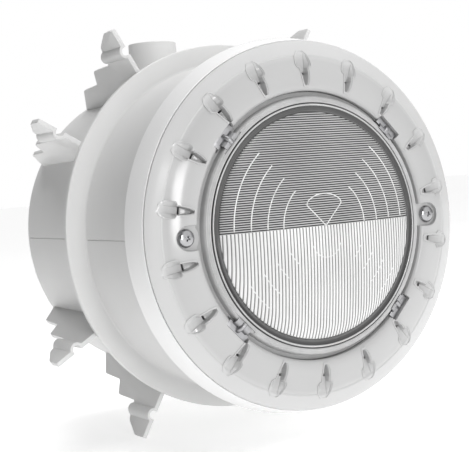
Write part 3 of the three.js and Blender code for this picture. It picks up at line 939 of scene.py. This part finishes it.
def water_slot():
    """The slot at a teardrop's deepest place, right through the ring."""
    half = SLOT_WIDTH / 2
    return block((SLOT_R - half, IN_FRONT, -SLOT_HALF), (SLOT_R + half, 3, SLOT_HALF))


def window_cutter(width, back):
    """A window for a retaining clip, open to the lamp, from in front of the ring to a depth."""
    inner, half = OPENING_R - 4, width / 2
    outline = rounded([(inner, -half), (WINDOW_R, -half, 0.8), (WINDOW_R, half, 0.8), (inner, half)])
    return plate(outline, IN_FRONT, back)


def screw_recess(side):
    """A screw's recess, as a cutter: round outside the screw, and open inwards through the rim."""
    def outline(spread):
        around = arc((SCREW_R, 0), SCREW_RECESS_R + spread, -90, 90, 24)
        return [(OPENING_R - 4, -SCREW_RECESS_R - spread), *around, (OPENING_R - 4, SCREW_RECESS_R + spread)]

    levels = [(IN_FRONT, 1.2), (-10.6, 1.2), (-9.9, 0.8), (-9.2, 0.25), (-8.4, 0), (SCREW_FLOOR - 0.7, 0)]
    levels += [(SCREW_FLOOR - 0.2, -0.3), (SCREW_FLOOR, -0.9)]
    recess = loft([[(r, depth, t) for r, t in outline(spread)] for depth, spread in levels])
    return spun(recess, 90 - 90 * side)


def trim_ring():
    """The ring with its skirt, teardrop pockets, screw recesses and clip windows."""
    skirt_inner = SKIRT_R - TRIM_THICK
    outline = rounded([
        (SKIRT_R, SKIRT_DEPTH, 0.5), (133, 10), (TRIM_R + 0.2, 0.7, 0.2), (TRIM_R - 1, 1.5),
        (TRIM_R - 0.7, -0.2, 0.3), *smooth(FACE[1:], 3),
        *smooth(INNER_FACE, 3), (OPENING_R, -7.4, 0.5), (OPENING_R, RIM_BACK, 0.4),
        (RIM_OUTER_R, RIM_BACK, 0.4), (RIM_OUTER_R, -6.2, 0.4), (112, -4.2), (119, -1.7), (124, 0.4),
        (TRIM_R - TRIM_THICK + 0.2, 1.6, 1), (skirt_inner, SKIRT_DEPTH, 0.5),
    ])
    ring = turned(outline, TRIM_ROUND)
    slots = [i * 360 / SLOTS for i in range(SLOTS)]
    return combine(
        ring,
        ("join", at_both_screws(lambda: rod(SCREW_PAD_R, SCREW_FLOOR - 1, RIM_BACK, 64, 0.4))),
        ("join", all_round(lambda: teardrop_bowl(CUP_WALL), slots)),
        ("join", all_round(lambda: teardrop_tongue(CUP_WALL), slots)),
        ("cut", all_round(teardrop_bowl, slots)),
        ("cut", all_round(teardrop_tongue, slots)),
        ("cut", all_round(water_slot, slots)),
        ("cut", gathered(screw_recess(-1), screw_recess(1))),
        ("cut", at_both_screws(lambda: rod(SCREW_HOLE_R, IN_FRONT, 1))),
        ("cut", all_round(lambda: window_cutter(WINDOW_WIDTH, WINDOW_FLOOR), CLIP_ANGLES)),
        ("cut", all_round(lambda: window_cutter(CLIP_LEG_WIDTH + 2, 1), CLIP_ANGLES)),
    )


add_piece("trim_ring_moulding", trim_ring(), TRIM_PLASTIC_PAINTED_LIGHT_AND_SHADE, "light_unit", ["trim_ring"],
          sharp=28)

# ---------- trim screws ----------


def screw():
    """A raised-head machine screw with a cross recess and a threaded end."""
    seat = SCREW_FLOOR - GAP
    threads = 14
    ridges = []
    for i in range(threads):
        at = SCREW_END - 2 - i
        ridges += [(SCREW_SHANK_R - 0.45, at + 0.5), (SCREW_SHANK_R, at)]
    crown = [(SCREW_HEAD_R - 0.25, seat - 1.4), (5.2, seat - 2.5), (3.2, seat - 3.2), (0, seat - 3.5)]
    head = turned([
        (0, SCREW_END), (SCREW_SHANK_R - 0.7, SCREW_END), (SCREW_SHANK_R, SCREW_END - 1), *ridges,
        (SCREW_SHANK_R, seat), (SCREW_HEAD_R - 0.2, seat), (SCREW_HEAD_R, seat - 0.25),
        (SCREW_HEAD_R, seat - 1.1), *smooth(crown, 4),
    ], SMALL_ROUND)
    cross = []
    for turn in (0, 90):
        flute = loft([
            [(x, -13, z) for x, z in ((-3.5, -0.85), (3.5, -0.85), (3.5, 0.85), (-3.5, 0.85))],
            [(x, seat - 1.4, z) for x, z in ((-1.4, -0.5), (1.4, -0.5), (1.4, 0.5), (-1.4, 0.5))],
        ])
        cross.append(("cut", spun(flute, turn + 20)))
    return softened(combine(head, *cross), 0.12, 40)


def screw_retainer():
    """The rubber washer behind the ring that keeps a loosened screw captive."""
    inner, outer = SCREW_SHANK_R + GAP, 5.2
    return turned(rounded([(inner, -1.1, 0.3), (outer, -1.1, 0.4), (outer, 0.2, 0.4), (inner, 0.2, 0.3)]),
                  SMALL_ROUND)


def screw_insert():
    """The knurled brass insert that a screw goes into."""
    knurls, deep = 20, 0.3
    wall = [(INSERT_R - (deep if i % 2 else 0), math.pi * i / knurls) for i in range(2 * knurls)]
    rim = [(r * math.cos(a), r * math.sin(a)) for r, a in wall]
    return combine(plate(rim, BOSS_FRONT, BOSS_FRONT + INSERT_LENGTH),
                   ("cut", rod(SCREW_HOLE_R, BOSS_FRONT - 1, BOSS_FRONT + INSERT_LENGTH + 1)))


for word, side in SIDES:
    for name, solid, look, body, slot in (
        (f"trim_screw_{word}", screw(), STEEL, f"trim_screw_{word}", "stainless_steel"),
        (f"screw_retainer_{word}", screw_retainer(), SEAL_RUBBER, f"trim_screw_{word}", "seal_rubber"),
        (f"screw_insert_{word}", screw_insert(), BRASS, "niche", "brass"),
    ):
        add_piece(f"{name}_fine", shifted(solid, side * SCREW_R), look, body, [name])

# ---------- lamp lens ----------

RIB_HEIGHT = 0.42
RIB_STEPS = 6                    # rows of faces in each rib
RIB_COLUMNS = 72                 # faces along each rib
RIB_BACK = 1.6                   # how far the pattern reaches back into the lens
BEAD_RADII = (34, 46, 58.2, 70.4)


def dome_depth(r):
    """The glass between the ribs: a shallow dome that rolls over at its edge."""
    roll = LENS_ROLL * (max(0.0, r - LENS_ROLL_R) / (LENS_R - LENS_ROLL_R)) ** 2
    return LENS_APEX + LENS_RELIEF + (LENS_EDGE - LENS_APEX) * (r / LENS_R) ** 2 + roll


def ribbed_sheet(pitch, upright, height):
    """Half of the pressed pattern: ribs over the dome, with a crest on the axis, closed by a back.

    The upper half's ribs are level. The lower half's are upright."""
    bm = bmesh.new()
    inner_r = LENS_R - 0.2
    start = -inner_r if upright else 0.0
    rows = int((inner_r - start) / pitch * RIB_STEPS)
    grid = []
    for i in range(rows + 1):
        place = start + (inner_r - start) * i / rows
        reach = math.sqrt(max(inner_r ** 2 - place ** 2, 0.04))
        crest = height * abs(math.cos(math.pi * place / pitch)) ** 0.8
        line = []
        for k in range(RIB_COLUMNS + 1):
            share = k / RIB_COLUMNS
            x, z = (place, -reach * share) if upright else (reach * (2 * share - 1), place)
            line.append(bm.verts.new((x, dome_depth(math.hypot(x, z)) - crest, z)))
        grid.append(line)
    for line, after in zip(grid, grid[1:]):
        for k in range(RIB_COLUMNS):
            bm.faces.new((line[k], line[k + 1], after[k + 1], after[k]))
    sides = grid[1:-1]
    rim = [*grid[0], *(line[-1] for line in sides), *reversed(grid[-1]), *(line[0] for line in sides[::-1])]
    back = [bm.verts.new(corner.co + Vector((0, RIB_BACK, 0))) for corner in rim]
    for i in range(len(rim)):
        bm.faces.new((rim[i - 1], rim[i], back[i], back[i - 1]))
    bm.faces.new(back)
    return faced(bm)


def bead(points, thick, proud):
    """A raised line on the dome through points (x, z)."""
    return swept([(x, dome_depth(math.hypot(x, z)) - proud, z) for x, z in points], thick, 8)


def lens_beads():
    """The pressed rings: long ones on both sides of the upper half, and short ones below."""
    beads = []
    for r in BEAD_RADII:
        for start, end, thick in ((1, 49, 0.5), (131, 179, 0.5), (-48, -29, 0.35), (-151, -132, 0.35)):
            beads.append(bead(arc((0, 0), r, start, end, 24), thick, 0.1))
    return gathered(*beads)


def lens_mark():
    """The keystone pressed in the middle of the upper half, and the arc that mirrors it below."""
    right = smooth([(0.3, 0.3), (7.2, 7.6), (13.4, 13.8), (14.3, 15.4), (13.7, 17.2), (11.6, 19.1), (6, 21.6),
                    (0, 22.3)])
    left = [(-x, z) for x, z in reversed(right[:-1])]
    below = arc((0, -10), 12, -165, -15, 24)
    return gathered(bead(right + left, 0.42, 0.1), bead(below, 0.3, 0.1))


def lens_body():
    """The glass behind the pressed pattern, with its plain rim."""
    dome = [(LENS_R * k / 24, dome_depth(LENS_R * k / 24) + 0.3) for k in range(25)]
    back = [(78 * k / 12, -17.0 + 9 * (k / 12) ** 2) for k in range(13)]
    rim = rounded([
        (82, -7.5), (LAMP_R, -7.5), (LAMP_R, -9), (85.6, -9), (85.6, -11.1, 0.3), (84.5, -11.8, 0.5),
        (83.4, -10.9, 0.4), (81.6, -10.3, 0.5), (80.4, -10.6),
    ], loop=False)
    return turned([*back, *rim, *reversed(dome)])


add_piece("lamp_lens_body", lens_body(), GLASS_RIM, "light_unit", ["lamp_lens"])
for word, solid, look in (
    ("upper_ribs", ribbed_sheet(RIB_PITCH_UPPER, False, RIB_HEIGHT), GLASS_UPPER),
    ("lower_ribs", ribbed_sheet(RIB_PITCH_LOWER, True, RIB_HEIGHT * 1.3), GLASS_LOWER),
    ("beads", lens_beads(), GLASS_BEAD),
    ("mark", lens_mark(), GLASS_BEAD),
):
    add_piece(f"lamp_lens_{word}", solid, look, "light_unit", sharp=60)

# ---------- lamp ----------


def reflector():
    """The bowl behind the lens: a parabola with a flat rim."""
    def bowl(back, rim, rim_depth):
        return [(rim * k / 16, back + (rim_depth - back) * (k / 16) ** 2) for k in range(17)]
    inside = bowl(REFLECTOR_BACK - 3.5, 79, -6.4)
    outside = bowl(REFLECTOR_BACK, 82, -4.7)
    rim = [(79, -7.2), (LAMP_R, -7.2), (LAMP_R, -4.7)]
    return turned([*inside, *rim, *reversed(outside)], 120)


def gasket():
    """The silicone channel round the lamp's rim, with fine lips in front and a ledge towards the trim."""
    lips = [(86.1, -11.1, 0.3), (87.3, -11.5, 0.4), (87.8, -11.0, 0.1), (88.5, -11.0, 0.3),
            (88.9, -10.5, 0.1), (89.6, -10.5, 0.3), (90.6, -8.8, 0.6)]
    ring = turned(rounded([
        (84, -1.4, 0.4), (84, -4.4, 0.4), (89.2, -4.4, 0.3), (89.2, -8.7, 0.2), (86.1, -8.7, 0.2), *lips,
        (91.1, -4.4, 0.3), (94.1, -4.0, 0.3), (94.1, -3.2, 0.3), (91.1, -2.8, 0.3), (91.1, -1.4, 0.4),
    ]))
    window, clip = WINDOW_WIDTH / 2 + GAP, CLIP_PLATE_WIDTH / 2 + GAP
    ledge_gaps = all_round(lambda: block((91.4, -6, -window), (96, -2.5, window)), CLIP_ANGLES)
    lip_gaps = all_round(lambda: block((88.0, -13, -clip), (92, -9.6, clip)), CLIP_ANGLES)
    return combine(ring, ("cut", ledge_gaps), ("cut", lip_gaps))


def housing():
    """The ribbed cup behind the lamp that keeps its terminals dry."""
    inner = HOUSING_R - HOUSING_WALL
    shell = turned(rounded([
        (NIPPLE_R + GAP, HOUSING_BACK, 0.4), (46, HOUSING_BACK, 4), (72, 87, 8), (88, 68, 8),
        (HOUSING_R, 50, 8), (HOUSING_R, 2.6, 0.8), (HOUSING_FLANGE_R, 2.6, 0.5),
        (HOUSING_FLANGE_R, -1.1, 0.5), (84, -1.1, 0.4),
        (84, 2.2, 0.3), (inner, 2.2, 0.3), (inner, 49.4, 5), (85.2, 66.8, 6), (70, 84.6, 6),
        (45.4, HOUSING_BACK - HOUSING_WALL, 3), (NIPPLE_R + GAP, HOUSING_BACK - HOUSING_WALL, 0.4),
    ]))
    outline = rounded([
        (40, HOUSING_BACK - 1), (40, HOUSING_BACK + 1.8, 1), (47, HOUSING_BACK + 1.6, 2), (73.4, 88.6, 4),
        (89.6, 69, 6), (HOUSING_R + 1.6, 50, 4), (HOUSING_R + 1.6, 8, 1.5), (HOUSING_R - 1, 6),
        (HOUSING_R - 1, 50), (86, 67), (71, 85), (46, HOUSING_BACK - 1),
    ])
    ribs = all_round(lambda: plate(outline, -1.1, 1.1, axis=2), range(15, 375, 30))
    return combine(shell, ("join", ribs))


def filament():
    """A wound coil on two legs."""
    winds, steps, radius, span, depth = 11, 12, 1.1, 4.6, 50
    coil = []
    for k in range(winds * steps + 1):
        turn = 2 * math.pi * k / steps
        x = span * (2 * k / (winds * steps) - 1)
        coil.append((x, depth + radius * math.cos(turn), radius * math.sin(turn)))
    leg = [(7, depth + 13), (7, depth + 5), (6.2, depth + 1), (span, depth + radius)]
    legs = [swept([(side * x, d, 0) for x, d in leg], 0.5, 8) for side in (-1, 1)]
    return gathered(swept(coil, 0.28, 6), *legs)


def filament_mount():
    """The ceramic disc that carries the filament's legs."""
    return turned(rounded([(0, 67.2), (9, 67.2, 0.5), (10, 66.2), (10, 63.3, 0.5), (0, 63.3)], loop=False),
                  SMALL_ROUND)


def terminal():
    """A hexagonal post behind the reflector with a tapped hole."""
    return combine(hexagon(9.6, 73.4, 82, 0.6), ("cut", rod(1.9, 74.5, 83)))


def terminal_screw():
    """A cheese-head screw with a slot."""
    return combine(rod(4, 82.3, 84.8, SMALL_ROUND, 0.3), ("join", thread(1.6, 76, 82.9, 1.2)),
                   ("cut", block((-5, 83.9, -0.5), (5, 86, 0.5))))


add_piece("lamp_reflector_bowl", reflector(), MIRROR, "light_unit", ["lamp_reflector"])
add_piece("lamp_gasket_ring", gasket(), SILICONE_PAINTED_SHADE, "light_unit", ["lamp_gasket"])
add_piece("lamp_housing_moulding", housing(), NICHE_PLASTIC, "light_unit", ["lamp_housing"])
add_piece("filament_coil", filament(), STEEL, "light_unit", ["filament"])
add_piece("filament_mount_fine", filament_mount(), CERAMIC, "light_unit", ["filament_mount"])
for word, side in SIDES:
    for name, solid in ((f"lamp_terminal_{word}", terminal()), (f"terminal_screw_{word}", terminal_screw())):
        add_piece(f"{name}_fine", shifted(solid, side * TERMINAL_ASIDE), BRASS, "light_unit", [name])

# ---------- retaining clips ----------


def strip(path, width, thick):
    """Bent sheet along a path of (radius, depth)."""
    front, back = [], []
    for i, (r, d) in enumerate(path):
        before = path[max(i - 1, 0)]
        after = path[min(i + 1, len(path) - 1)]
        along = complex(after[0] - before[0], after[1] - before[1])
        side = along / abs(along) * 1j * thick / 2
        front.append((r + side.real, d + side.imag))
        back.append((r - side.real, d - side.imag))
    return plate(front + back[::-1], -width / 2, width / 2, axis=2)


def retaining_clip():
    """A spring clip: a plate just under the ring's face, a tongue and a hump over the gasket, and a leg."""
    leg_r = WINDOW_R - GAP - CLIP_THICK / 2
    front, toe = -6.6, (89.0, -10.3)
    leg = rounded([(93.6, front), (leg_r, front, 1.2), (leg_r, 3.5, 1.2), (93.2, 3.5)], loop=False)
    ears = softened(strip([(92.6, front), (leg_r, front)], CLIP_PLATE_WIDTH, CLIP_THICK * 0.8), 0.2)
    tongue = smooth([(93.6, front), (92.9, -8.4), (91.4, -10.1), toe], 4)
    hump = swept(smooth([(*toe, 0), (91.6, -10.3, 0), (93.8, -8.9, 0), (95.4, -6.8, 0)], 4), 1.8, 12)
    return gathered(ears, strip(leg, CLIP_LEG_WIDTH, CLIP_THICK), strip(tongue, CLIP_LEG_WIDTH, 0.9), hump)


for number, angle in enumerate(CLIP_ANGLES, 1):
    add_piece(f"retaining_clip_{number}_fine", at_clock(retaining_clip(), angle), SPRING_STEEL, "light_unit",
              [f"retaining_clip_{number}"])
